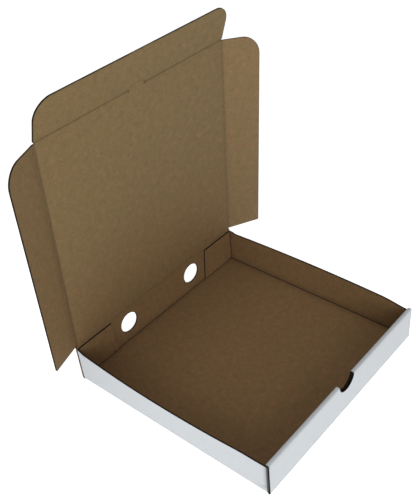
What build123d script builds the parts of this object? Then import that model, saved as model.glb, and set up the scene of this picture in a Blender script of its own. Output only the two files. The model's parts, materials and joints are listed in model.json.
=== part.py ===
"""A one-piece die-cut pizza box in fine corrugated board, white outside and brown inside, standing open.

Frame: X runs to the right seen from the front, Y towards the back wall, Z up.
The origin is the centre of the tray's underside. Every value is in millimetres or degrees.
"""

from build123d import *

import os
from math import cos, radians, sin

# Board
board = 1.5  # thickness of the corrugated board
fold_radius = 1.2  # outer radius of a folded edge
layer_gap = 0.1  # slit between two layers of board that lie against each other
crease_gap = 0.3  # slit between the rounded bead of a fold line and the square edge of its flap

# Tray
tray_width = 256.0  # outside, across the side walls
tray_depth = 254.0  # outside, front to back
hinge_height = 45.4  # the lid's fold line above the table
front_wall_drop = 3.8  # every drop is measured down from the lid's fold line
side_wall_drop = 4.4
side_wall_dip_length = 34.0  # where a side wall dips to pass under the rolled top
shoulder_drop = 2.4  # top of a side wall where it meets the back wall
shoulder_length = 9.0  # length of the rise up to it
left_wall_bow = 5.4  # how far the middle of the wall's top edge leans out
right_wall_bow = 3.6

# Corner tabs, which fold in from the side walls behind the back wall and inside the front wall
corner_tab_length = 53.0  # along its lower edge, from the outside of the side wall
corner_tab_slant = 3.5  # how much shorter its upper edge is
corner_tab_lift = 0.8  # clear of the floor
rear_tab_drop = 1.7
front_tab_clearance = 1.6  # below the underside of the rolled top

# Rolled front wall, with locking tabs in slots in the floor
roll_end_clearance = 0.3  # from the inner panel's ends to the side walls
lock_tab_width = 36.0
lock_tab_spacing = 120.0
lock_tab_clearance = 0.25

# Thumb notch in the front wall and vents in the back wall
notch_radius = 12.8
vent_diameter = 24.5
vent_spacing = 105.0
vent_drop = 19.9

# Lid
lid_opening = 87.0  # angle from closed to the way the box stands open
tuck_clearance = 0.3  # between a flap folded down inside the tray and the wall beside it
lip_side_clearance = 2.3  # from the lip's end to the side of the thumb notch
lip_length = 4.5
lip_slit = 0.6

# Side flaps
side_flap_floor_clearance = 0.9  # below the free edge when the lid is closed
side_flap_taper = 1.8  # how much narrower the flap is at the back
side_flap_back_clearance = 0.75  # behind the back edge when the lid is closed
side_flap_back_slope = 1.2
side_flap_front_clearance = 0.45  # before the front edge when the front flap is folded too
side_flap_front_slope = 2.4
side_flap_front_radius = 21.0
side_flap_back_radius = 2.5
left_flap_angle = 17.5
right_flap_angle = 28.5

# Front flap
front_flap_floor_clearance = 1.5
front_flap_side_clearance = 0.95
front_flap_radius = 20.0
front_flap_angle = 16.0

# Places that follow from the sizes above
half_board = board / 2
half_width = tray_width / 2
inner_half_width = half_width - board
front_face = -tray_depth / 2
back_face = tray_depth / 2
front_wall_height = hinge_height - front_wall_drop
side_wall_height = hinge_height - side_wall_drop
shoulder_height = hinge_height - shoulder_drop
roll_thickness = 3 * board + 2 * layer_gap
roll_inner_face = front_face + roll_thickness
roll_underside = front_wall_height - board
roll_panel_bottom = board + layer_gap
tab_face = back_face - board - layer_gap  # outer face of the rear tabs, and of the front ones in -Y
wall_end = tab_face - fold_radius - layer_gap  # where a side wall ends, just before its corner fold
front_tab_height = roll_underside - front_tab_clearance
hinge_y = back_face - half_board
crease_setback = half_board + crease_gap
fold_line_x = inner_half_width - tuck_clearance - half_board
lid_length = hinge_y - roll_inner_face - tuck_clearance - half_board
lip_half_width = notch_radius - lip_side_clearance
lip_radius = (lip_half_width**2 + lip_length**2) / (2 * lip_length)
side_flap_width = hinge_height - board - side_flap_floor_clearance
side_flap_back = hinge_y - (tab_face - board) + side_flap_back_clearance
side_flap_front = lid_length - half_board - side_flap_front_clearance
front_flap_width = hinge_height - board - front_flap_floor_clearance
front_flap_half_length = inner_half_width - front_flap_side_clearance

# The open lid: across it, up it, and out of its brown face
lean = radians(90 - lid_opening)
across = Vector(1, 0, 0)
up_lid = Vector(0, -sin(lean), cos(lean))
brown_side = Vector(0, -cos(lean), -sin(lean))
hinge_point = Vector(0, hinge_y, hinge_height)
lid_plane = Plane(origin=hinge_point, x_dir=across, z_dir=brown_side)


def wall_section(side, y, bow):
    """Section of a side wall and its bottom fold at y: side is -1 or 1, bow is how far its top is out."""
    outer = side * half_width
    inner = side * inner_half_width
    shift = side * bow
    with BuildSketch(Plane.XZ.offset(-y)) as section:
        with BuildLine():
            Polyline(
                (inner - side * board, 0),
                (outer, 0),
                (outer + shift, hinge_height),
                (inner + shift, hinge_height),
                (inner, board),
                (inner - side * board, board),
                close=True,
            )
        make_face()
        bottom_fold = section.vertices().sort_by_distance((outer, 0))[0]
        fillet(bottom_fold, fold_radius)
    return section.sketch


def side_wall(side, bow):
    """A side wall between its corner folds, with its rise at the back and its dip under the rolled top."""
    stations = ((-wall_end, 0), (0, bow), (wall_end, 0))
    with BuildPart() as wall:
        loft([wall_section(side, y, lean_out) for y, lean_out in stations])
        with BuildSketch(Plane.YZ) as outline:
            with BuildLine():
                rise = Spline(
                    (wall_end - shoulder_length, side_wall_height),
                    (wall_end, shoulder_height),
                    tangents=((1, 0), (1, 0)),
                )
                dip = Spline(
                    (-wall_end, front_tab_height),
                    (side_wall_dip_length - wall_end, side_wall_height),
                    tangents=((1, 0), (1, 0)),
                )
                Line(dip @ 1, rise @ 0)
                Polyline(rise @ 1, (wall_end, 0), (-wall_end, 0), dip @ 0)
            make_face()
        extrude(outline.sketch, amount=tray_width, both=True, mode=Mode.INTERSECT)
    return wall.part


def corner_tab(side, end):
    """A corner fold and its tab: side is -1 or 1, end is -1 at the front and 1 at the back."""
    bottom = board + corner_tab_lift
    fold_top = shoulder_height if end > 0 else front_tab_height
    tab_top = hinge_height - rear_tab_drop if end > 0 else front_tab_height
    tip = side * (half_width - corner_tab_length)
    outer_face = end * tab_face
    inner_face = outer_face - end * board
    with BuildPart() as tab:
        with BuildSketch(Plane.XY.offset(bottom)) as plan:
            with BuildLine():
                Polyline(
                    (side * half_width, end * wall_end),
                    (side * half_width, outer_face),
                    (tip, outer_face),
                    (tip, inner_face),
                    (side * inner_half_width, inner_face),
                    (side * inner_half_width, end * wall_end),
                    close=True,
                )
            make_face()
            corner_fold = plan.vertices().sort_by_distance((side * half_width, outer_face))[0]
            fillet(corner_fold, fold_radius)
        extrude(amount=hinge_height)
        with BuildSketch(Plane.XZ) as outline:
            with BuildLine():
                Polyline(
                    (side * half_width, bottom),
                    (tip, bottom),
                    (tip + side * corner_tab_slant, tab_top),
                    (side * (inner_half_width - board), tab_top),
                    (side * inner_half_width, fold_top),
                    (side * half_width, fold_top),
                    close=True,
                )
            make_face()
        extrude(outline.sketch, amount=tray_depth, both=True, mode=Mode.INTERSECT)
    return tab.part


def flap_plane(fold_point, outward, fold_direction, angle):
    """Mid-plane of a flap: x out from its fold line, y along it, bent by angle towards the brown side."""
    bent = outward * cos(radians(angle)) + brown_side * sin(radians(angle))
    return Plane(origin=fold_point, x_dir=bent, z_dir=bent.cross(fold_direction))


def side_flap(side, angle):
    """A side flap of the lid: side is -1 or 1, angle is its bend in the open box."""
    fold_point = hinge_point + across * side * fold_line_x
    back_corner = (side_flap_width - side_flap_taper, side_flap_back + side_flap_back_slope)
    front_corner = (side_flap_width, side_flap_front - side_flap_front_slope)
    with BuildPart() as flap:
        with BuildSketch(flap_plane(fold_point, across * side, up_lid, angle)) as outline:
            with BuildLine():
                Polyline(
                    (crease_setback, side_flap_back),
                    back_corner,
                    front_corner,
                    (crease_setback, side_flap_front),
                    close=True,
                )
            make_face()
            fillet(outline.vertices().sort_by_distance(front_corner)[0], side_flap_front_radius)
            fillet(outline.vertices().sort_by_distance(back_corner)[0], side_flap_back_radius)
        extrude(amount=half_board, both=True)
    return flap.part


# Side walls and corner tabs, which are folded parts of the tray
side_walls = [side_wall(-1, left_wall_bow), side_wall(1, right_wall_bow)]
corner_tabs = [corner_tab(side, end) for side in (-1, 1) for end in (-1, 1)]

# Tray: one folded sheet, with its floor, walls, rolled front wall and corner tabs
with BuildPart() as tray:
    # Floor, back wall, outer front wall and the flat top of the roll
    with BuildSketch(Plane.YZ) as strip:
        with BuildLine():
            Polyline(
                (front_face, 0),
                (back_face, 0),
                (back_face, hinge_height),
                (back_face - board, hinge_height),
                (back_face - board, board),
                (front_face + board, board),
                (front_face + board, roll_underside),
                (roll_inner_face, roll_underside),
                (roll_inner_face, front_wall_height),
                (front_face, front_wall_height),
                close=True,
            )
        make_face()
        fold_corners = (
            (front_face, 0),
            (back_face, 0),
            (front_face, front_wall_height),
            (roll_inner_face, front_wall_height),
        )
        fillet([strip.vertices().sort_by_distance(corner)[0] for corner in fold_corners], fold_radius)
        with Locations((hinge_y, hinge_height)):
            Circle(half_board)
    extrude(amount=half_width, both=True)

    # The floor stops short of the side walls, whose sections bring their own bottom folds
    with BuildSketch(Plane.XY):
        with Locations((-inner_half_width, 0), (inner_half_width, 0)):
            Rectangle(2 * board, 2 * wall_end)
    extrude(amount=board, mode=Mode.SUBTRACT)
    add(side_walls)
    add(corner_tabs)

    # Slots in the floor for the locking tabs
    with BuildSketch(Plane.XY):
        with Locations((0, roll_inner_face - half_board)):
            with GridLocations(lock_tab_spacing, 1, 2, 1):
                Rectangle(lock_tab_width + 2 * lock_tab_clearance, board + 2 * lock_tab_clearance)
    extrude(amount=board, mode=Mode.SUBTRACT)

    # Inner panel of the roll, with its locking tabs
    with BuildSketch(Plane.XZ.offset(-roll_inner_face)):
        with Locations((0, roll_panel_bottom)):
            Rectangle(
                2 * (inner_half_width - roll_end_clearance),
                roll_underside - roll_panel_bottom,
                align=(Align.CENTER, Align.MIN),
            )
        with Locations((0, layer_gap)):
            with GridLocations(lock_tab_spacing, 1, 2, 1):
                Rectangle(lock_tab_width, board, align=(Align.CENTER, Align.MIN))
    extrude(amount=board)

    # Thumb notch through the roll and vents through the back wall
    with BuildSketch(Plane.XZ.offset(-roll_inner_face)):
        with Locations((0, front_wall_height)):
            Circle(notch_radius)
    extrude(amount=roll_thickness, mode=Mode.SUBTRACT)
    with BuildSketch(Plane.XZ.offset(-back_face)):
        with Locations((0, hinge_height - vent_drop)):
            with GridLocations(vent_spacing, 1, 2, 1):
                Circle(vent_diameter / 2)
    extrude(amount=board, mode=Mode.SUBTRACT)

# Lid panel: a flat board with a rounded bead along each fold line, and the thumb lip
with BuildPart() as lid:
    with BuildSketch(Plane(origin=hinge_point + up_lid * crease_setback, x_dir=across, z_dir=up_lid)):
        SlotCenterToCenter(2 * fold_line_x, board)
    extrude(amount=lid_length - crease_setback)
    with BuildSketch(Plane(origin=hinge_point + up_lid * lid_length, x_dir=up_lid, z_dir=across)):
        Circle(half_board)
    extrude(amount=fold_line_x, both=True)
    with BuildSketch(lid_plane):
        with BuildLine():
            lip_edge = ThreePointArc(
                (-lip_half_width, lid_length),
                (0, lid_length + lip_length),
                (lip_half_width, lid_length),
            )
            Line(lip_edge @ 1, lip_edge @ 0)
        make_face()
    extrude(amount=half_board, both=True)

# Front flap of the lid, cut out round the thumb lip
with BuildPart() as front_flap:
    front_fold_point = hinge_point + up_lid * lid_length
    with BuildSketch(flap_plane(front_fold_point, up_lid, across, front_flap_angle)) as front_outline:
        with Locations((crease_setback, 0)):
            Rectangle(
                front_flap_width - crease_setback,
                2 * front_flap_half_length,
                align=(Align.MIN, Align.CENTER),
            )
        fillet(front_outline.vertices().group_by(Axis.X)[-1], front_flap_radius)
        with Locations((lip_length - lip_radius, 0)):
            Circle(lip_radius + lip_slit, mode=Mode.SUBTRACT)
    extrude(amount=half_board, both=True)

# Side flaps of the lid
left_flap = side_flap(-1, left_flap_angle)
right_flap = side_flap(1, right_flap_angle)

tray.part.label = "tray"
lid.part.label = "lid"
front_flap.part.label = "lid_front_flap"
left_flap.label = "lid_left_flap"
right_flap.label = "lid_right_flap"

os.makedirs("parts", exist_ok=True)
export_step(tray.part, "parts/tray.step")
export_step(lid.part, "parts/lid.step")
export_step(front_flap.part, "parts/lid_front_flap.step")
export_step(left_flap, "parts/lid_left_flap.step")
export_step(right_flap, "parts/lid_right_flap.step")
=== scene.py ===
"""Looks of the open pizza box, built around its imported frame.

The box is one folded sheet of fine-flute board, white outside and brown inside. Each body is meshed from
its flat cut-out, then folded. Every size is in metres and every angle in radians unless its name says so.
X runs to the right seen from the front, Y towards the back wall and Z up.
"""

import json
import logging
from collections.abc import Callable, Sequence
from dataclasses import dataclass, field
from enum import Enum
from math import ceil, cos, hypot, pi, radians, sin, sqrt, tau

import bpy
import numpy as np
from mathutils import Euler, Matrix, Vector
from mathutils.geometry import delaunay_2d_cdt


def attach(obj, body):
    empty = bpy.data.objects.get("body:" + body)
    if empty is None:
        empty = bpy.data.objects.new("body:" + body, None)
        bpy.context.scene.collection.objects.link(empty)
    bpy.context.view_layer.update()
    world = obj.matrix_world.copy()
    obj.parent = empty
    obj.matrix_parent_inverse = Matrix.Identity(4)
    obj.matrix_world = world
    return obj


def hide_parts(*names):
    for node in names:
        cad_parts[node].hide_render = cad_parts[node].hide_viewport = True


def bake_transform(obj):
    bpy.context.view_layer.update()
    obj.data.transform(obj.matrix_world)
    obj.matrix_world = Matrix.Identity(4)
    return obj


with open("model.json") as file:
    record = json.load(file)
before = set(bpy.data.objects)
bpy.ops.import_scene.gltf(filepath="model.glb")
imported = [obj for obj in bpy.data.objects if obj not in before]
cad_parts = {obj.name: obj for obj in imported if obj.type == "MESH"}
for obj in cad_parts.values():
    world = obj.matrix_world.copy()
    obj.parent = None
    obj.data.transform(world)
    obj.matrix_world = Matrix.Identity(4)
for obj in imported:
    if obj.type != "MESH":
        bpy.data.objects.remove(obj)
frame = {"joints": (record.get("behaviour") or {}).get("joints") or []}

log = logging.getLogger("pizza_box")

Point = tuple[float, float]
Line = tuple[Point, Point]
Place = tuple[float, float, float]
LightFactors = tuple[float, float, float]
Colour = tuple[float, float, float, float]
Range = tuple[float, float]
Placer = Callable[[np.ndarray, np.ndarray, np.ndarray], np.ndarray]

PHOTO_WIDTH = 418
PHOTO_HEIGHT = 500

# Distances that tell a point on a line, a doubled point, a place at zero and a point beside no edge
SAME_PLACE = 0.00001
MERGE_DISTANCE = 0.000001
NO_DISTANCE = 0.0000001
FAR_AWAY = 1.0

# Targets of a ramp that goes up and of one that goes down
RISE: Range = (0.0, 1.0)
FALL: Range = (1.0, 0.0)


class Layer(Enum):
    """The parts of the board that get a finish of their own, in the order of a piece's materials."""

    OUTER_LINER = 0
    INNER_LINER = 1
    CORE = 2


Finishes = dict[Layer, bpy.types.Material]


@dataclass(frozen=True)
class Board:
    """Fine-flute corrugated board, with its flutes along X in the flat sheet."""

    thickness: float = 0.0015
    liner: float = 0.00020
    medium: float = 0.00020
    flute_pitch: float = 0.0033
    core_recess: float = 0.0009
    medium_recess: float = 0.00015
    fold_radius: float = 0.0008
    fold_steps: int = 6
    # How open the flutes are at a cut along them and at a crushed cut; open flutes get darker painted
    # shade
    least_opening: float = 0.4
    crushed_opening: float = 0.1
    crease_reach: float = 0.0016
    crease_width: float = 0.0008
    support: float = 0.0008
    grid: float = 0.009
    steps_per_flute: int = 8
    # Strengths of the painted dark line along the hinge crease and of the painted shade beside it
    hinge_line: float = 0.25
    hinge_shade: float = 0.2

    @property
    def half(self) -> float:
        """Half the board's thickness."""
        return self.thickness / 2

    @property
    def bend(self) -> float:
        """Length of a square fold along the middle of the board."""
        return self.fold_radius * pi / 2

    @property
    def fine_step(self) -> float:
        """Spacing of the columns of a cut edge that crosses the flutes."""
        return self.flute_pitch / self.steps_per_flute

    def edge_rows(self, across: np.ndarray) -> list[tuple[np.ndarray, float]]:
        """Rows of a cut edge between its two liners, from the white side to the brown side.

        Args:
            across: Place of each column across the flutes.

        Returns:
            For each row, its offset from the middle of the board at each column, and its recess.
        """
        inside = self.half - self.liner
        wave = (inside - self.medium / 2) * np.sin(tau * across / self.flute_pitch)
        upper = wave + self.medium / 2
        lower = wave - self.medium / 2
        flat = np.ones_like(across)
        return [
            (flat * inside, 0.0),
            (flat * inside, self.core_recess),
            (upper, self.core_recess),
            (upper, self.medium_recess),
            (lower, self.medium_recess),
            (lower, self.core_recess),
            (flat * -inside, self.core_recess),
            (flat * -inside, 0.0),
        ]


BOARD = Board()


class FoldPath:
    """Section through a folded sheet: straight runs and bends, all bent towards the brown side."""

    def __init__(self, first: float, start: Point, heading: float, runs: Sequence[Point]) -> None:
        """Chains the runs.

        Args:
            first: Place in the flat sheet where the path starts.
            start: Where it starts in the section's plane, at the middle of the board.
            heading: Direction in which it starts.
            runs: Length and turn of each run in order.
        """
        places, points, headings = [first], [start], [heading]
        for length, turn in runs:
            x, y = points[-1]
            angle = headings[-1]
            if turn:
                radius = length / turn
                x += radius * (sin(angle + turn) - sin(angle))
                y -= radius * (cos(angle + turn) - cos(angle))
            else:
                x += length * cos(angle)
                y += length * sin(angle)
            places.append(places[-1] + length)
            points.append((x, y))
            headings.append(angle + turn)
        self.places = np.array(places)
        self.points = np.array(points)
        self.headings = np.array(headings)
        self.curvature = np.array([turn / length for length, turn in runs])

    def place(self, along: np.ndarray, offset: np.ndarray) -> tuple[np.ndarray, np.ndarray]:
        """Folds points of the flat sheet.

        Args:
            along: Place of each point along the flat sheet.
            offset: Its distance from the middle of the board, to the white side.

        Returns:
            The two coordinates of each point in the section's plane.
        """
        last = len(self.curvature) - 1
        run = np.clip(np.searchsorted(self.places, along, side="right") - 1, 0, last)
        distance = along - self.places[run]
        curvature = self.curvature[run]
        start = self.headings[run]
        angle = start + curvature * distance
        bent = curvature > 0
        radius = 1 / np.where(bent, curvature, 1.0)
        x = np.where(bent, radius * (np.sin(angle) - np.sin(start)), distance * np.cos(start))
        y = np.where(bent, -radius * (np.cos(angle) - np.cos(start)), distance * np.sin(start))
        x = x + self.points[run, 0] + offset * np.sin(angle)
        y = y + self.points[run, 1] - offset * np.cos(angle)
        return x, y


class Outline:
    """A closed line in the flat sheet, with points close together where it crosses the flutes.

    An arc has at least LEAST_ARC steps, and leaves out a point that is nearer to the one before it than
    a fine step over SAME_SHARE.
    """

    LEAST_ARC = 4
    SAME_SHARE = 10

    def __init__(self, start: Point) -> None:
        """Starts the line at a point."""
        self.points: list[Point] = [start]

    def line_to(self, x: float, v: float, fine: bool = True) -> "Outline":
        """Adds a straight run.

        Args:
            x: Its end along the flutes.
            v: Its end across the flutes.
            fine: Whether it is a cut edge, which needs a column for each part of a flute.

        Returns:
            This outline.
        """
        x0, v0 = self.points[-1]
        step = BOARD.fine_step if fine else BOARD.grid
        count = max(1, ceil(abs(v - v0) / step), ceil(abs(x - x0) / BOARD.grid))
        self.points += spaced((x0, v0), (x, v), count)[1:]
        return self

    def ease_to(self, x: float, v: float) -> "Outline":
        """Adds an S-shaped run that leaves and arrives along V.

        Args:
            x: Its end along the flutes.
            v: Its end across the flutes.

        Returns:
            This outline.
        """
        x0, v0 = self.points[-1]
        count = max(2, ceil(abs(v - v0) / BOARD.fine_step))
        for i in range(1, count + 1):
            t = i / count
            self.points.append((x0 + (x - x0) * t * t * (3 - 2 * t), v0 + (v - v0) * t))
        return self

    def arc(self, centre: Point, radius: float, start: float, end: float) -> "Outline":
        """Adds an arc, with its first point unless the outline is there already.

        Args:
            centre: Centre of the arc.
            radius: Its radius.
            start: Angle of its first point.
            end: Angle of its last point.

        Returns:
            This outline.
        """
        count = max(self.LEAST_ARC, ceil(radius * abs(end - start) / BOARD.fine_step))
        for i in range(count + 1):
            angle = start + (end - start) * i / count
            x, v = centre[0] + radius * cos(angle), centre[1] + radius * sin(angle)
            last_x, last_v = self.points[-1]
            if hypot(x - last_x, v - last_v) > BOARD.fine_step / self.SAME_SHARE:
                self.points.append((x, v))
        return self

    def corner(self, x: float, v: float, radius: float, onward: Point, fine: bool = True) -> "Outline":
        """Adds a straight run and a rounded corner.

        Args:
            x: The corner along the flutes.
            v: The corner across the flutes.
            radius: Radius of the corner.
            onward: The point towards which the outline goes on.
            fine: Whether the run is a cut edge.

        Returns:
            This outline.
        """
        before = (Vector(self.points[-1]) - Vector((x, v))).normalized()
        after = (Vector(onward) - Vector((x, v))).normalized()
        half_angle = before.angle(after) / 2
        setback = radius / np.tan(half_angle)
        begin = Vector((x, v)) + before * setback
        centre = Vector((x, v)) + (before + after).normalized() * radius / sin(half_angle)
        self.line_to(begin.x, begin.y, fine)
        first = np.arctan2(begin.y - centre.y, begin.x - centre.x)
        turn = (pi - 2 * half_angle) * (1 if before.x * after.y - before.y * after.x < 0 else -1)
        return self.arc((centre.x, centre.y), radius, first, first + turn)

    def mirrored(self) -> list[Point]:
        """The whole outline, from this half and its mirror image across X = 0."""
        return self.points + [(-x, v) for x, v in reversed(self.points) if abs(x) > NO_DISTANCE]


@dataclass(frozen=True)
class Fold:
    """A fold line in the flat sheet, with how strongly its painted shade darkens each side of the board.
    """

    start: Point
    end: Point
    # Painted shade: line is a dark line along the fold and shade a shade beside it on the brown side, the
    # outer ones the same on the white side, and reach how far that shade reaches
    line: float = 1.0
    shade: float = 1.0
    outer_line: float = 1.0
    outer_shade: float = 0.3
    reach: float = 0.006
    width: float = 0.0

    def distance(self, flat: np.ndarray) -> np.ndarray:
        """Distance of each flat point from the bent strip."""
        return np.maximum(segment_distance(flat, (self.start, self.end)) - self.width / 2, 0)


@dataclass
class FlatNet:
    """A flat cut-out: its outline, its holes, its folds, and the edges that aren't open cuts.

    Seams are where the board goes on in the next piece. Crushed edges are cuts whose flutes are closed.
    Beyond the V of enclosed_from, towards the front, the brown side is shut inside a roll.
    Two sets of factors multiply the brown side's colour, to paint light and shade on it: one at V = 0 and
    one from the V of its reach on.
    """

    outline: list[Point]
    holes: list[list[Point]] = field(default_factory=list)
    rows: list[Line] = field(default_factory=list)
    folds: list[Fold] = field(default_factory=list)
    seams: list[Line] = field(default_factory=list)
    crushed: list[Line] = field(default_factory=list)
    enclosed_from: float = -1.0
    # Painted light and shade: factors of red, green and blue on the brown side, at V = 0 and from the
    # reach on
    painted_light: LightFactors = (1.0, 1.0, 1.0)
    near_painted_light: LightFactors = (1.0, 1.0, 1.0)
    painted_light_reach: float = 0.15

    def inside(self, points: np.ndarray) -> np.ndarray:
        """Finds the points that are board, and not outside the cut-out or in one of its holes.

        Args:
            points: The points.

        Returns:
            Whether each one is board.
        """
        found = np.zeros(len(points), bool)
        x, v = points[:, 0], points[:, 1]
        for loop in [self.outline, *self.holes]:
            for (x0, v0), (x1, v1) in zip(loop, loop[1:] + loop[:1]):
                if v0 != v1:
                    crosses = (v0 > v) != (v1 > v)
                    found ^= crosses & (x < (x1 - x0) * (v - v0) / (v1 - v0) + x0)
        return found

    def triangulate(self) -> tuple[np.ndarray, np.ndarray]:
        """Divides the cut-out into triangles.

        Returns:
            The points, and for each triangle its three points, anticlockwise.
        """
        points: list[Point] = []
        edges: list[tuple[int, int]] = []
        for loop in [self.outline, *self.holes]:
            first = len(points)
            points += loop
            edges += [(first + i, first + (i + 1) % len(loop)) for i in range(len(loop))]
        for start, end in self.rows:
            first = len(points)
            count = max(2, ceil(hypot(end[0] - start[0], end[1] - start[1]) / BOARD.grid))
            points += spaced(start, end, count)
            edges += [(first + i, first + i + 1) for i in range(count)]
        xs, vs = np.array(self.outline).T
        for x in np.arange(xs.min() + BOARD.grid / 2, xs.max(), BOARD.grid):
            for v in np.arange(vs.min() + BOARD.grid / 2, vs.max(), BOARD.grid):
                points.append((float(x), float(v)))
        places = [Vector(point) for point in points]
        corners, _, faces, *_ = delaunay_2d_cdt(places, edges, [], 0, MERGE_DISTANCE, False)
        flat = np.array([(p.x, p.y) for p in corners])
        triangles = np.array([face for face in faces if len(face) == 3])
        triangles = triangles[self.inside(flat[triangles].mean(axis=1))]
        used, compact = np.unique(triangles, return_inverse=True)
        return flat[used], compact.reshape(triangles.shape)

    def fold_painted_shade(self, flat: np.ndarray, outer: np.ndarray) -> tuple[np.ndarray, np.ndarray]:
        """How the painted shade of the nearest fold line falls on each point.

        Args:
            flat: The points.
            outer: Whether each one is on the white side.

        Returns:
            The distance of each point from its nearest fold, and the strengths of that fold's painted dark
            line and painted shade, and the shade's reach.
        """
        distances = np.array([fold.distance(flat) for fold in self.folds])
        nearest = distances.argmin(axis=0)
        inner_marks = np.array([(fold.line, fold.shade, fold.reach) for fold in self.folds])
        outer_marks = np.array([(fold.outer_line, fold.outer_shade, fold.reach) for fold in self.folds])
        marks = np.where(outer[:, None], outer_marks[nearest], inner_marks[nearest])
        return distances.min(axis=0), marks

    def painted_light_factors(self, flat: np.ndarray, outer: np.ndarray) -> np.ndarray:
        """Painted light and shade: factors that lighten, darken and redden the brown side, blending along
        V.

        Args:
            flat: The points.
            outer: Whether each one is on the white side, which gets no painted light.

        Returns:
            Factors of red, green and blue at each point.
        """
        share = smooth(flat[:, 1] / self.painted_light_reach)[:, None]
        found = np.array(self.near_painted_light) * (1 - share) + np.array(self.painted_light) * share
        return np.where(outer[:, None], 1.0, found)

    def openings(self, border: np.ndarray, heading: np.ndarray) -> np.ndarray:
        """How far open the flutes are at each border point.

        Args:
            border: The border points.
            heading: Unit vector along the border at each one.

        Returns:
            A number for each: 1 where the cut crosses the flutes and 0 where there is no cut.
        """
        found = BOARD.least_opening + (1 - BOARD.least_opening) * np.abs(heading[:, 1])
        for line in self.crushed:
            found[segment_distance(border, line) < SAME_PLACE] = BOARD.crushed_opening
        for line in self.seams:
            found[segment_distance(border, line) < SAME_PLACE] = 0.0
        return found

    def edge_painted_shade(
        self, flat: np.ndarray, border: np.ndarray, opening: np.ndarray
    ) -> tuple[np.ndarray, np.ndarray]:
        """Where the painted shade of the nearest cut edge falls on each point.

        Args:
            flat: The points.
            border: The border points.
            opening: How far open the flutes are at each border point.

        Returns:
            The distance of each point from the nearest cut edge, and how far open that edge is.
        """
        distance, strength = np.full(len(flat), FAR_AWAY), np.zeros(len(flat))
        for (x, v), share in zip(border, opening):
            if share > 0:
                found = np.hypot(flat[:, 0] - x, flat[:, 1] - v)
                strength = np.where(found < distance, share, strength)
                distance = np.minimum(distance, found)
        return distance, strength


def spaced(start: Point, end: Point, count: int) -> list[Point]:
    """The ends of a straight run, and the points that divide it into so many steps."""
    (x0, v0), (x1, v1) = start, end
    return [(x0 + (x1 - x0) * i / count, v0 + (v1 - v0) * i / count) for i in range(count + 1)]


def smooth(share: np.ndarray) -> np.ndarray:
    """Rises from 0 to 1 with level ends, as a share goes from 0 to 1."""
    t = np.clip(share, 0, 1)
    return t * t * (3 - 2 * t)


def segment_distance(flat: np.ndarray, line: Line) -> np.ndarray:
    """Distance of each flat point from a line segment.

    Args:
        flat: The points.
        line: The two ends of the segment.

    Returns:
        One distance for each point.
    """
    a, b = np.array(line[0]), np.array(line[1])
    t = np.clip((flat - a) @ (b - a) / ((b - a) @ (b - a)), 0, 1)
    return np.linalg.norm(flat - a - t[:, None] * (b - a), axis=1)


def fold_rows(at: float, width: float, steps: int, support: float) -> list[float]:
    """Places of the rows of points across a fold.

    Args:
        at: Where the fold begins.
        width: Its width, which may be negative.
        steps: How many strips it has.
        support: Distance of one more row on each side.

    Returns:
        The places in order.
    """
    sign = 1 if width > 0 else -1
    inner = [at + width * i / steps for i in range(steps + 1)]
    return [at - sign * support, *inner, at + width + sign * support]


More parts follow.
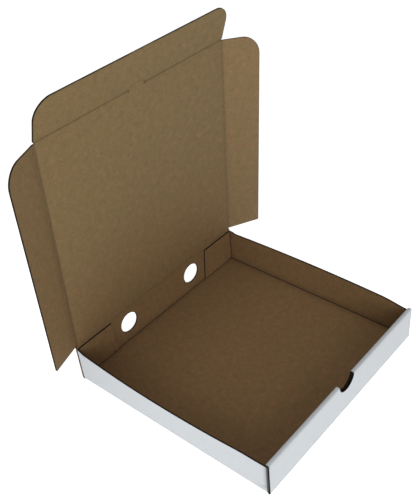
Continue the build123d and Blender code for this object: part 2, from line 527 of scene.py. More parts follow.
class SheetMesh:
    """Turns a flat cut-out into a closed mesh of two liners and the cut edges between them."""

    SHARP_ANGLE_DEG = 28
    SHARPEST_CORNER = 0.6
    LONGEST_MITRE = 1.5
    PROBE_STEP = 0.00001

    def __init__(self, name: str, net: FlatNet, placer: Placer) -> None:
        """Keeps what the mesh is made from.

        Args:
            name: Name of the piece.
            net: Its flat cut-out.
            placer: Folds arrays of x, v and offset into points of the frame.
        """
        self.name = name
        self.net = net
        self.placer = placer

    def build(self) -> bpy.types.Object:
        """Builds the mesh.

        Returns:
            The new object, linked to the scene and without materials.
        """
        flat, triangles = self.net.triangulate()
        onward = self.border(triangles)
        columns = np.array(sorted(onward))
        mitre, heading = self.mitres(flat, onward, columns)
        edge_rows = BOARD.edge_rows(flat[columns, 1])
        places = [flat, flat]
        offsets = [np.full(len(flat), BOARD.half), np.full(len(flat), -BOARD.half)]
        for row_offset, recess in edge_rows:
            places.append(flat[columns] - mitre * recess)
            offsets.append(row_offset)
        place, offset = np.vstack(places), np.concatenate(offsets)
        points = self.placer(place[:, 0], place[:, 1], offset)
        faces, layers = self.faces(len(flat), triangles, onward, len(edge_rows))
        if self.is_mirrored(flat, triangles):
            faces = [tuple(reversed(face)) for face in faces]

        mesh = bpy.data.meshes.new(self.name)
        mesh.from_pydata(points.tolist(), [], faces)
        mesh.polygons.foreach_set("material_index", np.array(layers, np.int32))
        mesh.shade_smooth()
        mesh.set_sharp_from_angle(angle=radians(self.SHARP_ANGLE_DEG))
        self.mark(mesh, place, offset, flat[columns], self.net.openings(flat[columns], heading))
        mesh.validate()
        piece = bpy.data.objects.new(self.name, mesh)
        bpy.context.scene.collection.objects.link(piece)
        return piece

    @staticmethod
    def border(triangles: np.ndarray) -> dict[int, int]:
        """For each point of the border, the next one with the board on its left."""
        edges = {(int(t[i]), int(t[(i + 1) % 3])) for t in triangles for i in range(3)}
        return {a: b for a, b in edges if (b, a) not in edges}

    @staticmethod
    def faces(
        count: int, triangles: np.ndarray, onward: dict[int, int], rows: int
    ) -> tuple[list[tuple[int, ...]], list[int]]:
        """The faces of the two liners and of the cut edges between them.

        Args:
            count: How many flat points each side has. Those of the white side come first.
            triangles: The triangles of the flat points.
            onward: For each border point, the next one.
            rows: How many rows of points a cut edge has between the two sides.

        Returns:
            The points of each face, and the number of its layer.
        """
        column_of = {point: i for i, point in enumerate(sorted(onward))}

        def ring(point: int) -> list[int]:
            """Points of the cut edge at a border point, from the white side to the brown side."""
            between = [2 * count + row * len(onward) + column_of[point] for row in range(rows)]
            return [point, *between, count + point]

        faces = [tuple(t) for t in triangles.tolist()]
        faces += [(count + c, count + b, count + a) for a, b, c in triangles.tolist()]
        layers = [Layer.OUTER_LINER.value] * len(triangles) + [Layer.INNER_LINER.value] * len(triangles)
        liner, core = Layer.INNER_LINER.value, Layer.CORE.value
        edge_layers = [liner, *[core] * (rows - 1), liner]
        for here, there in onward.items():
            near, far = ring(here), ring(there)
            for row, layer in enumerate(edge_layers):
                faces.append((near[row + 1], far[row + 1], far[row], near[row]))
                layers.append(layer)
        return faces, layers

    def mark(
        self,
        mesh: bpy.types.Mesh,
        place: np.ndarray,
        offset: np.ndarray,
        border: np.ndarray,
        opening: np.ndarray,
    ) -> None:
        """Stores what the finishes need to know about each point of the mesh.

        Args:
            mesh: The mesh.
            place: Place of each point in the flat sheet.
            offset: Its distance from the middle of the board, to the white side.
            border: The border points.
            opening: How far open the flutes are at each border point.
        """
        outer = offset > 0
        distance, marks = self.net.fold_painted_shade(place, outer)
        edge, strength = self.net.edge_painted_shade(place, border, opening)
        # The brown side shut inside the front roll, where the finish paints shade
        enclosed = (place[:, 1] < self.net.enclosed_from) & (offset < BOARD.half - BOARD.liner / 2)
        # Fold, edge and enclosed values drive the painted shade; the light factors drive painted light and
        # shade
        found = {
            "flat_place": np.column_stack([place, offset]),
            "fold_distance": distance,
            "fold_painted_shade": marks,
            "painted_light_and_shade": self.net.painted_light_factors(place, outer),
            "edge_distance": edge,
            "flute_opening": strength,
            "enclosed": enclosed.astype(float),
        }
        for name, values in found.items():
            kind, key = ("FLOAT", "value") if values.ndim == 1 else ("FLOAT_VECTOR", "vector")
            attribute = mesh.attributes.new(name, kind, "POINT")
            attribute.data.foreach_set(key, values.astype(np.float32).ravel())

    def mitres(
        self, flat: np.ndarray, onward: dict[int, int], columns: np.ndarray
    ) -> tuple[np.ndarray, np.ndarray]:
        """Directions out of the board and along its border at each border point.

        Args:
            flat: The flat points.
            onward: For each border point, the next one.
            columns: The border points in order.

        Returns:
            For each border point, a vector out of the board that is longer at corners, and a unit
            vector along the border.
        """
        back = {b: a for a, b in onward.items()}
        here = flat[columns]
        ahead = flat[[onward[int(c)] for c in columns]] - here
        behind = here - flat[[back[int(c)] for c in columns]]
        along = sum(edge / np.linalg.norm(edge, axis=1)[:, None] for edge in (ahead, behind))
        out = np.column_stack([along[:, 1], -along[:, 0]])
        length = np.maximum(np.linalg.norm(out, axis=1), self.SHARPEST_CORNER)[:, None]
        return out / length * np.minimum(2 / length, self.LONGEST_MITRE), along / length

    def is_mirrored(self, flat: np.ndarray, triangles: np.ndarray) -> bool:
        """Finds whether folding turns the sheet's x, v and offset into a left-handed set.

        Args:
            flat: The flat points.
            triangles: Their triangles.

        Returns:
            Whether it does.
        """
        centre = flat[triangles[0]].mean(axis=0)
        x = centre[0] + np.array([0, self.PROBE_STEP, 0, 0])
        v = centre[1] + np.array([0, 0, self.PROBE_STEP, 0])
        offset = np.array([0, 0, 0, self.PROBE_STEP])
        p = self.placer(x, v, offset)
        return float(np.cross(p[1] - p[0], p[2] - p[0]) @ (p[3] - p[0])) < 0


def dress(piece: bpy.types.Object, finishes: Finishes) -> None:
    """Gives each layer of a piece its finish."""
    for layer in Layer:
        piece.data.materials.append(finishes[layer])


def joint(name: str) -> dict:
    """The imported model's joint of that name."""
    return next(j for j in frame["joints"] if j["name"] == name)


@dataclass
class Crease:
    """A fold line of the open box between two bodies, bent over a narrow strip of board.

    The brown face dips along it. The points beyond face_share of half the board belong to that face.
    """

    point: Vector
    outward: Vector
    along: Vector
    brown: Vector
    angle: float
    depth: float
    reach: float = BOARD.crease_reach
    strips: int = 8
    face_share: float = 0.9

    def place(self, out: np.ndarray, along: np.ndarray, offset: np.ndarray) -> np.ndarray:
        """Bends points of the flat board.

        Args:
            out: Distance of each point beyond the fold line.
            along: Its place along the fold line.
            offset: Its distance from the middle of the board, to the white side.

        Returns:
            The points in the frame.
        """
        angle = (self.angle * smooth((out + self.reach) / (2 * self.reach)))[:, None]
        dip = self.depth * np.exp(-((out / BOARD.crease_width) ** 2))
        offset = np.where(offset < -BOARD.half * self.face_share, offset + dip, offset)
        outward, brown = np.array(self.outward), np.array(self.brown)
        across = outward * np.cos(angle) + brown * np.sin(angle)
        white = outward * np.sin(angle) - brown * np.cos(angle)
        base = np.array(self.point) + along[:, None] * np.array(self.along)
        return base + out[:, None] * across + offset[:, None] * white

    def rows(self, start: float, end: float, upright: bool) -> list[Line]:
        """Rows of points along the crease.

        Args:
            start: Where the rows begin along the fold line.
            end: Where they end.
            upright: Whether the rows run along V in the flat sheet.

        Returns:
            The two ends of each row.
        """
        outs = [self.reach * (2 * i / self.strips - 1) for i in range(self.strips + 1)]
        outs += [-self.reach - BOARD.support, self.reach + BOARD.support]
        if upright:
            return [((out, start), (out, end)) for out in outs]
        return [((start, out), (end, out)) for out in outs]

    def blend(self, piece: bpy.types.Object, near: str, far: str) -> None:
        """Bakes the piece's transform into its mesh.

        Args:
            piece: The piece.
            near: The body before the crease. Not used.
            far: The body beyond it. Not used.
        """
        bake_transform(piece)


@dataclass
class Tray:
    """The tray: floor, walls, rolled front wall with its locking tabs, and corner tabs."""

    half_width: float = 0.128
    half_depth: float = 0.127
    hinge_height: float = 0.0454
    front_height: float = 0.0416
    side_height: float = 0.0410
    shoulder_height: float = 0.0430
    shoulder_length: float = 0.009
    dip_length: float = 0.034
    front_tab_height: float = 0.0385
    rear_tab_height: float = 0.0437
    tab_bottom: float = 0.0023
    tab_tip: float = 0.075
    tab_slant: float = 0.0035
    left_bow: float = 0.0054
    right_bow: float = 0.0036
    layer_gap: float = 0.0001
    roll_end_clearance: float = 0.0003
    lock_tab_width: float = 0.036
    lock_tab_spacing: float = 0.120
    lock_tab_bottom: float = 0.0001
    lock_slot_clearance: float = 0.00025
    notch_radius: float = 0.0128
    vent_radius: float = 0.01225
    vent_spacing: float = 0.105
    vent_height: float = 0.0255
    slit: float = 0.0001
    # Painted shade along the folds: how far it reaches at the floor's folds; its dark line and reach at
    # the side walls' bottom folds; its shade and reach at the corner folds; and the dark line and shade on
    # the white side of the front corner folds, a painted shadow band, and of the rear corner folds
    strip_reach: float = 0.008
    side_line: float = 1.3
    side_reach: float = 0.010
    corner_shade: float = 0.6
    corner_reach: float = 0.005
    front_corner_outer_shade: Range = (17.0, 5.0)
    rear_corner_outer_shade: Range = (1.0, 0.3)

    def __post_init__(self) -> None:
        """Works out the fold lines of the flat sheet and the sections that it folds to."""
        half, radius, bend = BOARD.half, BOARD.fold_radius, BOARD.bend
        turn = pi / 2
        self.wall_x = self.half_width - half
        self.wall_y = self.half_depth - half
        self.low = half + radius
        self.floor_x = self.wall_x - radius
        self.floor_y = self.wall_y - radius
        self.roll_y = self.half_depth - 5 * half - 2 * self.layer_gap
        self.roll_level = self.front_height - half - radius
        self.panel_bottom = BOARD.thickness + self.layer_gap
        front_run = self.roll_level - self.low
        top_run = self.wall_y - self.roll_y - 2 * radius
        back_run = self.hinge_height - BOARD.crease_reach - self.low
        self.front_low = -self.floor_y - bend
        self.front_top = self.front_low - front_run
        self.roll_near = self.front_top - bend
        self.roll_far = self.roll_near - top_run
        self.panel_top = self.roll_far - bend
        self.panel_end = self.panel_top - (self.roll_level - self.panel_bottom)
        self.back_low = self.floor_y + bend
        self.back_top = self.back_low + back_run
        self.strip = FoldPath(
            self.panel_end,
            (-self.roll_y, self.panel_bottom),
            turn,
            [
                (self.roll_level - self.panel_bottom, 0),
                (bend, turn),
                (top_run, 0),
                (bend, turn),
                (front_run, 0),
                (bend, turn),
                (2 * self.floor_y, 0),
                (bend, turn),
                (back_run, 0),
            ],
        )
        self.side = FoldPath(0, (self.floor_x, half), 0, [(bend, turn), (self.hinge_height, 0)])
        self.tab_y = self.half_depth - BOARD.thickness - self.layer_gap - half
        self.wall_run = self.tab_y - radius
        self.plan = FoldPath(
            0,
            (self.wall_x, 0),
            turn,
            [(self.wall_run, 0), (bend, turn), (self.half_width, 0)],
        )

    def across(self, height: float) -> float:
        """Place in the flat sheet, along X, of a height on a side wall."""
        return self.floor_x + BOARD.bend + height - self.low

    def along_tab(self, x: float) -> float:
        """Place in the flat sheet, along V, of a place on a corner tab."""
        return self.wall_run + BOARD.bend + self.floor_x - x

    def place(self, x: np.ndarray, v: np.ndarray, offset: np.ndarray) -> np.ndarray:
        """Folds points of the flat sheet.

        Args:
            x: Place of each point along the flutes.
            v: Its place across the flutes.
            offset: Its distance from the middle of the board, to the white side.

        Returns:
            The points in the frame.
        """
        out, far, sign = np.abs(x), np.abs(v), np.sign(x)
        strip_y, strip_z = self.strip.place(v, offset)
        up = out - self.floor_x
        beside = (far <= self.wall_run + self.slit / 2) | (out > self.half_width + self.slit)
        is_side = (up > NO_DISTANCE) & beside
        fold_x, fold_z = self.side.place(up, offset)
        plan_x, plan_y = self.plan.place(far, offset)
        is_upper = up >= BOARD.bend
        side_x = np.where(is_upper, plan_x, fold_x)
        side_y = np.where(is_upper, plan_y * np.sign(v), v)
        side_z = np.where(is_upper, up - BOARD.bend + self.low, fold_z)
        bow = np.where(x < 0, self.left_bow, self.right_bow)
        arch = np.clip(1 - (v / self.wall_run) ** 2, 0, None)
        side_x = (side_x + bow * arch * side_z / self.hinge_height) * sign
        px = np.where(is_side, side_x, x)
        py = np.where(is_side, side_y, strip_y)
        pz = np.where(is_side, side_z, strip_z)
        return np.column_stack([px, py, pz])

    def net(self) -> FlatNet:
        """Draws the flat cut-out of the tray.

        Returns:
            The cut-out.
        """
        tab_low, tab_high = self.across(self.tab_bottom), self.across(self.front_tab_height)
        rear_high, side_high = self.across(self.rear_tab_height), self.across(self.side_height)
        shoulder = self.across(self.shoulder_height)
        tip = self.along_tab(self.tab_tip)
        slanted_tip = self.along_tab(self.tab_tip + self.tab_slant)
        slit = self.wall_run + self.slit
        corner = self.along_tab(self.floor_x)
        lock_near = (self.lock_tab_spacing - self.lock_tab_width) / 2
        lock_far = lock_near + self.lock_tab_width
        lock_end = self.panel_end - (self.panel_bottom - self.lock_tab_bottom)
        panel_x = self.half_width - BOARD.thickness - self.roll_end_clearance

        half = Outline((0, self.panel_end))
        half.line_to(lock_near, self.panel_end)
        half.line_to(lock_near, lock_end)
        half.line_to(lock_far, lock_end)
        half.line_to(lock_far, self.panel_end)
        half.line_to(panel_x, self.panel_end)
        half.line_to(panel_x, self.panel_top)
        half.line_to(self.half_width, self.panel_top)
        half.line_to(self.half_width, -slit)
        half.line_to(self.floor_x, -slit)
        half.line_to(self.floor_x, -self.wall_run)
        half.line_to(tab_low, -self.wall_run)
        half.line_to(tab_low, -tip)
        half.line_to(tab_high, -slanted_tip)
        half.line_to(tab_high, -self.wall_run)
        half.ease_to(side_high, self.dip_length - self.wall_run)
        half.line_to(side_high, self.wall_run - self.shoulder_length)
        half.ease_to(shoulder, self.wall_run)
        half.line_to(shoulder, corner)
        half.line_to(rear_high, corner + BOARD.thickness)
        half.line_to(rear_high, slanted_tip)
        half.line_to(tab_low, tip)
        half.line_to(tab_low, self.wall_run)
        half.line_to(self.floor_x, self.wall_run)
        half.line_to(self.floor_x, slit)
        half.line_to(self.half_width, slit)
        half.line_to(self.half_width, self.back_top)
        half.line_to(0, self.back_top)
        left, right = -self.half_width, self.half_width
        return FlatNet(
            half.mirrored(),
            self.holes(),
            self.rows(),
            self.folds(),
            seams=[((left, self.back_top), (right, self.back_top))],
            crushed=[((x, slit), (x, self.back_top)) for x in (left, right)],
            enclosed_from=self.front_low,
        )

    def holes(self) -> list[list[Point]]:
        """Draws the thumb notch, the vents and the slots of the locking tabs in the flat sheet.

        Returns:
            The points of each hole.
        """
        drop = self.front_height - self.roll_level
        half_width = sqrt(self.notch_radius**2 - drop**2)
        angle = np.arctan2(drop, half_width)
        notch = Outline((-half_width, self.front_top))
        notch.arc((0, self.front_top - drop), self.notch_radius, pi - angle, angle)
        notch.line_to(half_width, self.panel_top)
        notch.arc((0, self.panel_top + drop), self.notch_radius, -angle, angle - pi)
        notch.line_to(-half_width, self.front_top)
        found = [notch.points[:-1]]
        slot_x = self.lock_tab_width / 2 + self.lock_slot_clearance
        slot_v = BOARD.half + self.lock_slot_clearance
        for side in (-1, 1):
            x = side * self.vent_spacing / 2
            v = self.back_low + self.vent_height - self.low
            vent = Outline((x + self.vent_radius, v))
            vent.arc((x, v), self.vent_radius, 0, tau)
            found.append(vent.points[:-1])
            x = side * self.lock_tab_spacing / 2
            slot = Outline((x - slot_x, -self.roll_y - slot_v))
            slot.line_to(x + slot_x, -self.roll_y - slot_v)
            slot.line_to(x + slot_x, -self.roll_y + slot_v)
            slot.line_to(x - slot_x, -self.roll_y + slot_v)
            slot.line_to(x - slot_x, -self.roll_y - slot_v)
            found.append(slot.points[:-1])
        return found

    def rows(self) -> list[Line]:
        """Lays rows of points along every fold of the tray.

        Returns:
            The two ends of each row.
        """
        bend, steps, support = BOARD.bend, BOARD.fold_steps, BOARD.support
        found = []
        for at in (self.panel_top, self.front_top - bend, -self.floor_y - bend, self.floor_y):
            for v in fold_rows(at, bend, steps, support):
                found.append(((-self.half_width, v), (self.half_width, v)))
        for side in (-1, 1):
            for x in fold_rows(self.floor_x, bend, steps, support)[1:]:
                found.append(((side * x, -self.wall_run), (side * x, self.wall_run)))
            for end in (-1, 1):
                for v in fold_rows(self.wall_run, bend, steps, support):
                    height = self.side_height if v < self.wall_run else self.shoulder_height
                    low, high = side * self.across(self.tab_bottom), side * self.across(height)
                    found.append(((low, end * v), (high, end * v)))
        return found

    def folds(self) -> list[Fold]:
        """Lists every fold of the tray, with the strengths of its painted shade on the brown side and on
        the white side.

        Returns:
            The folds.
        """
        half, bend = BOARD.bend / 2, BOARD.bend
        left, right = -self.half_width, self.half_width
        low, high = self.across(self.tab_bottom), self.across(self.shoulder_height)
        found = []
        for v in (self.panel_top + half, self.front_top - half, -self.floor_y - half, self.floor_y + half):
            found.append(Fold((left, v), (right, v), reach=self.strip_reach, width=bend))
        for side in (-1, 1):
            x = side * (self.floor_x + half)
            ends = (x, -self.wall_run), (x, self.wall_run)
            found.append(Fold(*ends, self.side_line, reach=self.side_reach, width=bend))
            for end in (-1, 1):
                v = end * (self.wall_run + half)
                ends = (side * low, v), (side * high, v)
                outer = self.front_corner_outer_shade if end < 0 else self.rear_corner_outer_shade
                marks = 1.0, self.corner_shade, *outer
                found.append(Fold(*ends, *marks, reach=self.corner_reach, width=bend))
        v = self.back_top + BOARD.crease_reach
        found.append(Fold((left, v), (right, v), BOARD.hinge_line, BOARD.hinge_shade))
        return found

    def build(self, finishes: Finishes) -> bpy.types.Object:
        """Builds the tray, dresses it and sets it in the place of its solid.

        Args:
            finishes: The material of each layer.

        Returns:
            The tray.
        """
        piece = SheetMesh("tray_board", self.net(), self.place).build()
        dress(piece, finishes)
        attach(piece, "tray")
        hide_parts("tray")
        return piece


@dataclass
class Lid:
    """The lid: one panel with its thumb lip, two side flaps and a front flap."""

    hinge_half_width: float = 0.128
    corner_x: float = 0.1262
    side_flap_width: float = 0.0430
    side_flap_taper: float = 0.0018
    side_flap_back: float = 0.0031
    side_flap_back_slope: float = 0.0012
    side_flap_front_clearance: float = 0.0012
    side_flap_front_slope: float = 0.0024
    side_flap_front_radius: float = 0.021
    side_flap_back_radius: float = 0.0012
    front_flap_width: float = 0.0424
    front_flap_half_length: float = 0.12555
    front_flap_radius: float = 0.020
    lip_half_width: float = 0.0105
    lip_length: float = 0.0045
    lip_slit: float = 0.0002
    setback: float = 0.00105
    hinge_depth: float = 0.00020
    front_depth: float = 0.00022
    side_depth: float = 0.00010
    # Painted shade at the lid's creases: the dark line along each crease and the shade beside it, how far
    # that shade reaches, and a dark line along the cut round the thumb lip
    front_line: float = 0.85
    front_shade: float = 0.3
    left_line: float = 0.15
    left_shade: float = 1.5
    left_reach: float = 0.014
    right_line: float = 0.15
    right_shade: float = 1.9
    right_reach: float = 0.0040
    lip_line: float = 0.4
    # Painted light and shade on the brown side: the panel a little darker, darker and redder near the
    # hinge, the front flap darker, the left flap darker and redder, and the right flap lighter
    panel_painted_shade: LightFactors = (0.98, 0.97, 0.96)
    hinge_painted_shade: LightFactors = (1.0, 0.90, 0.90)
    front_painted_shade: LightFactors = (0.96, 0.955, 0.94)
    left_painted_shade: LightFactors = (0.90, 0.85, 0.84)
    right_painted_light: LightFactors = (1.09, 1.06, 1.11)

    def __post_init__(self) -> None:
        """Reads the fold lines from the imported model's joints."""
        hinge, front = joint("lid_hinge"), joint("front_flap_fold")
        self.hinge_point = Vector(hinge["pos_m"])
        self.front_point = Vector(front["pos_m"])
        up = self.front_point - self.hinge_point
        self.length = up.length
        self.up = up.normalized()
        self.brown = Vector((0, -self.up.z, self.up.y))
        self.fold_x = abs(joint("left_flap_fold")["pos_m"][0])
        self.lip_radius = (self.lip_half_width**2 + self.lip_length**2) / (2 * self.lip_length)
        lean = radians(90 + hinge["range_deg"][0])
        x_axis = Vector((1, 0, 0))
        upright, forward = Vector((0, 0, 1)), Vector((0, -1, 0))
        self.hinge = Crease(self.hinge_point, upright, x_axis, forward, lean, self.hinge_depth)
        angle = radians(-front["range_deg"][0])
        self.front = Crease(self.front_point, self.up, x_axis, self.brown, angle, self.front_depth)

    def side_crease(self, side: int) -> Crease:
        """Reads the crease of a side flap from its joint.

        Args:
            side: -1 for the left flap and 1 for the right one.

        Returns:
            The crease.
        """
        fold = joint("left_flap_fold" if side < 0 else "right_flap_fold")
        angle = radians(-fold["range_deg"][0])
        outward = Vector((side, 0, 0))
        return Crease(Vector(fold["pos_m"]), outward, self.up, self.brown, angle, self.side_depth)

    def side_painted_shade(self, side: int, panel: bool) -> tuple[float, float, float]:
        """How strongly a side crease's painted shade darkens the brown side; the left crease's shade falls
        only on its flap.

        Args:
            side: -1 for the left crease and 1 for the right one.
            panel: Whether the marks are those on the panel, and not those on the flap.

        Returns:
            The strength of its painted dark line and of its painted shade, and the shade's reach.
        """
        if side > 0:
            return self.right_line, self.right_shade, self.right_reach
        return self.left_line, 0.0 if panel else self.left_shade, self.left_reach

    def slit_lines(self, half: Outline, beyond: float) -> list[Line]:
        """The closed cut round the thumb lip.

        Args:
            half: The right half of an outline whose middle part is the cut.
            beyond: The V where the cut begins.

        Returns:
            The cut's segments, on both sides.
        """
        lip = self.lip_half_width + self.lip_slit + SAME_PLACE
        cut = [point for point in half.points if point[0] <= lip and point[1] > beyond - SAME_PLACE]
        pairs = list(zip(cut, cut[1:]))
        return pairs + [((-x0, v0), (-x1, v1)) for (x0, v0), (x1, v1) in pairs]

    def place_panel(self, x: np.ndarray, v: np.ndarray, offset: np.ndarray) -> np.ndarray:
        """Folds points of the lid's panel, where V is the distance from the hinge line."""
        return self.hinge.place(v, x, offset)

    def panel(self) -> bpy.types.Object:
        """Builds the lid's panel, which bends at the hinge.

        Returns:
            The panel.
        """
        reach = BOARD.crease_reach
        edge = self.fold_x - reach
        top = self.length - reach
        half = Outline((0, -reach))
        half.line_to(self.hinge_half_width, -reach)
        half.line_to(self.hinge_half_width, 0)
        half.line_to(self.corner_x, self.setback)
        half.line_to(self.corner_x, self.side_flap_back - self.lip_slit)
        half.line_to(edge, self.side_flap_back)
        half.line_to(edge, top, fine=False)
        half.line_to(self.lip_half_width, top)
        half.line_to(self.lip_half_width, self.length)
        start = np.arctan2(self.lip_radius - self.lip_length, self.lip_half_width)
        half.arc((0, self.length + self.lip_length - self.lip_radius), self.lip_radius, start, pi / 2)
        rows = self.hinge.rows(-self.hinge_half_width, self.hinge_half_width, upright=False)
        width, lip = self.hinge_half_width, self.lip_half_width
        folds = [Fold((-width, 0), (width, 0), BOARD.hinge_line, BOARD.hinge_shade)]
        seams = [((-width, -reach), (width, -reach))]
        for side in (-1, 1):
            x = side * self.fold_x
            line, shade, shade_reach = self.side_painted_shade(side, panel=True)
            crease = (x, self.side_flap_back), (x, self.length)
            folds.append(Fold(*crease, line=line, shade=shade, reach=shade_reach))
            crease = (side * lip, self.length), (x, self.length)
            folds.append(Fold(*crease, self.front_line, self.front_shade))
            seams.append(((side * edge, self.side_flap_back), (side * edge, top)))
            seams.append(((side * edge, top), (side * lip, top)))
        slit = self.slit_lines(half, top)
        folds += [Fold(*ends, line=self.lip_line, shade=0.0) for ends in slit]
        # Painted shade: the panel darker and redder towards the hinge
        painted_light_factors = {"painted_light": self.panel_painted_shade, "near_painted_light": self.hinge_painted_shade}
        net = FlatNet(half.mirrored(), [], rows, folds, seams, slit, **painted_light_factors)
        piece = SheetMesh("lid_board", net, self.place_panel).build()
        self.hinge.blend(piece, "tray", "lid")
        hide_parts("lid")
        return piece

    def side_flap(self, side: int, name: str, body: str) -> bpy.types.Object:
        """Builds a side flap with its crease.

        Args:
            side: -1 for the left flap and 1 for the right one.
            name: Name of the piece.
            body: The body that it stands for.

        Returns:
            The flap.
        """
        reach = BOARD.crease_reach
        crease = self.side_crease(side)
        back, front = self.side_flap_back, self.length - self.side_flap_front_clearance
        back_corner = (self.side_flap_width - self.side_flap_taper, back + self.side_flap_back_slope)
        front_corner = (self.side_flap_width, front - self.side_flap_front_slope)
        top = self.length - reach
        line = Outline((-reach, back))
        line.line_to(self.setback, back)
        line.corner(*back_corner, self.side_flap_back_radius, front_corner)
        line.corner(*front_corner, self.side_flap_front_radius, (self.setback, front))
        line.line_to(self.setback, front)
        line.line_to(-reach, top)
        line.line_to(-reach, back, fine=False)
        strength, shade, shade_reach = self.side_painted_shade(side, panel=False)
        net = FlatNet(
            line.points[:-1],
            rows=crease.rows(back, front, upright=True),
            folds=[Fold((0, back), (0, front), line=strength, shade=shade, reach=shade_reach)],
            seams=[((-reach, back), (-reach, top))],
            # Painted light and shade: the left flap darker, and redder towards the hinge, and the right
            # flap lighter
            painted_light=self.left_painted_shade if side < 0 else self.right_painted_light,
            near_painted_light=self.hinge_painted_shade if side < 0 else self.right_painted_light,
        )
        piece = SheetMesh(name, net, crease.place).build()
        crease.blend(piece, "lid", body)
        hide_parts(body)
        return piece

    def place_front(self, x: np.ndarray, v: np.ndarray, offset: np.ndarray) -> np.ndarray:
        """Folds points of the front flap, where V is the distance from its fold line."""
        return self.front.place(v, x, offset)

    def front_flap(self) -> bpy.types.Object:
        """Builds the front flap with its crease and the cut-out round the thumb lip.

        Returns:
            The flap.
        """
        reach = BOARD.crease_reach
        edge = self.fold_x - reach
        radius = self.lip_radius + self.lip_slit
        centre = self.lip_length - self.lip_radius
        slit_x = sqrt(radius**2 - centre**2)
        corner = (self.front_flap_half_length, self.front_flap_width)
        half = Outline((0, centre + radius))
        half.arc((0, centre), radius, pi / 2, np.arctan2(-centre, slit_x))
        half.line_to(slit_x, -reach)
        half.line_to(edge, -reach)
        half.line_to(self.front_flap_half_length, self.setback)
        half.corner(*corner, self.front_flap_radius, (0, self.front_flap_width))
        half.line_to(0, self.front_flap_width)
        width = self.front_flap_half_length
        creases = [((side * slit_x, 0), (side * width, 0)) for side in (-1, 1)]
        folds = [Fold(*ends, self.front_line, self.front_shade) for ends in creases]
        slit = self.slit_lines(half, -reach)
        folds += [Fold(*ends, line=self.lip_line, shade=0.0) for ends in slit]
        net = FlatNet(
            half.mirrored(),
            rows=self.front.rows(-width, width, upright=False),
            folds=folds,
            seams=[((side * slit_x, -reach), (side * edge, -reach)) for side in (-1, 1)],
            crushed=slit,
            # Painted shade: the front flap a little darker
            painted_light=self.front_painted_shade,
            near_painted_light=self.front_painted_shade,
        )
        piece = SheetMesh("lid_front_flap_board", net, self.place_front).build()
        self.front.blend(piece, "lid", "lid_front_flap")
        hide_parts("lid_front_flap")
        return piece

    def build(self, finishes: Finishes) -> list[bpy.types.Object]:
        """Builds the panel and the three flaps, and dresses them.

        Args:
            finishes: The material of each layer.

        Returns:
            The four pieces.
        """
        pieces = [
            self.panel(),
            self.front_flap(),
            self.side_flap(-1, "lid_left_flap_board", "lid_left_flap"),
            self.side_flap(1, "lid_right_flap_board", "lid_right_flap"),
        ]
        for piece in pieces:
            dress(piece, finishes)
        return pieces


@dataclass(frozen=True)
class Grain:
    """One layer of the paper's fibres: a noise that is stretched along and across the flutes."""

    scale: float
    detail: float
    along: float = 1.0
    across: float = 1.0


class Shader:
    """A short way to write a node tree: most methods add one node and return what it puts out."""

    NOISE_ROUGHNESS = 0.55

    def __init__(self, tree: bpy.types.NodeTree) -> None:
        """Writes into an empty tree."""
        self.tree = tree
        tree.nodes.clear()

    def node(self, kind: str, inputs: dict | None = None, **settings: object) -> bpy.types.Node:
        """Adds a node.

        Args:
            kind: Blender's name of the node's type.
            inputs: Values or sockets for its inputs, by name or number.
            settings: Values of its properties.

        Returns:
            The node.
        """
        made = self.tree.nodes.new(kind)
        for key, value in settings.items():
            setattr(made, key, value)
        for key, value in (inputs or {}).items():
            if isinstance(value, bpy.types.NodeSocket):
                self.tree.links.new(value, made.inputs[key])
            else:
                made.inputs[key].default_value = value
        return made

    def math(
        self, operation: str, a: object, b: object = 0.0, c: object = 0.0, clamp: bool = False
    ) -> bpy.types.NodeSocket:
        """Adds a Math node.

        Args:
            operation: Blender's name of the operation.
            a: The first number or socket.
            b: The second one.
            c: The third one, which only some operations use.
            clamp: Whether the result is kept between 0 and 1.

        Returns:
            The result.
        """
        inputs = {0: a, 1: b, 2: c}
        return self.node("ShaderNodeMath", inputs, operation=operation, use_clamp=clamp).outputs[0]

    def ramp(self, value: object, source: Range, target: Range = RISE) -> bpy.types.NodeSocket:
        """Maps a range of values smoothly to another one and returns the result."""
        inputs = dict(enumerate((value, *source, *target)))
        return self.node("ShaderNodeMapRange", inputs, interpolation_type="SMOOTHSTEP").outputs[0]

    def mix(self, amount: object, a: object, b: object) -> bpy.types.NodeSocket:
        """Mixes two colours and returns the result."""
        return self.node("ShaderNodeMix", {0: amount, 6: a, 7: b}, data_type="RGBA").outputs[2]

    def product(self, place: object, factors: object) -> bpy.types.NodeSocket:
        """Multiplies two vectors or colours and returns the result."""
        return self.node("ShaderNodeVectorMath", {0: place, 1: factors}, operation="MULTIPLY").outputs[0]

    def noise(self, place: object, scale: float, detail: float = 2.0) -> bpy.types.NodeSocket:
        """Adds a noise texture and returns its value."""
        inputs = {"Vector": place, "Scale": scale, "Detail": detail, "Roughness": self.NOISE_ROUGHNESS}
        return self.node("ShaderNodeTexNoise", inputs).outputs[0]

    def fibres(self, place: object, grain: Grain) -> bpy.types.NodeSocket:
        """Adds a layer of the paper's fibres and returns its value."""
        stretched = self.product(place, (grain.along, grain.across, grain.along))
        return self.noise(stretched, grain.scale, grain.detail)

    def attribute(self, name: str, output: str) -> bpy.types.NodeSocket:
        """Reads a value stored on the mesh."""
        return self.node("ShaderNodeAttribute", attribute_name=name).outputs[output]

    def surface(self, inputs: dict[str, object]) -> None:
        """Adds a Principled BSDF with these inputs and puts it out."""
        made = self.node("ShaderNodeBsdfPrincipled", inputs)
        self.node("ShaderNodeOutputMaterial", {0: made.outputs[0]})


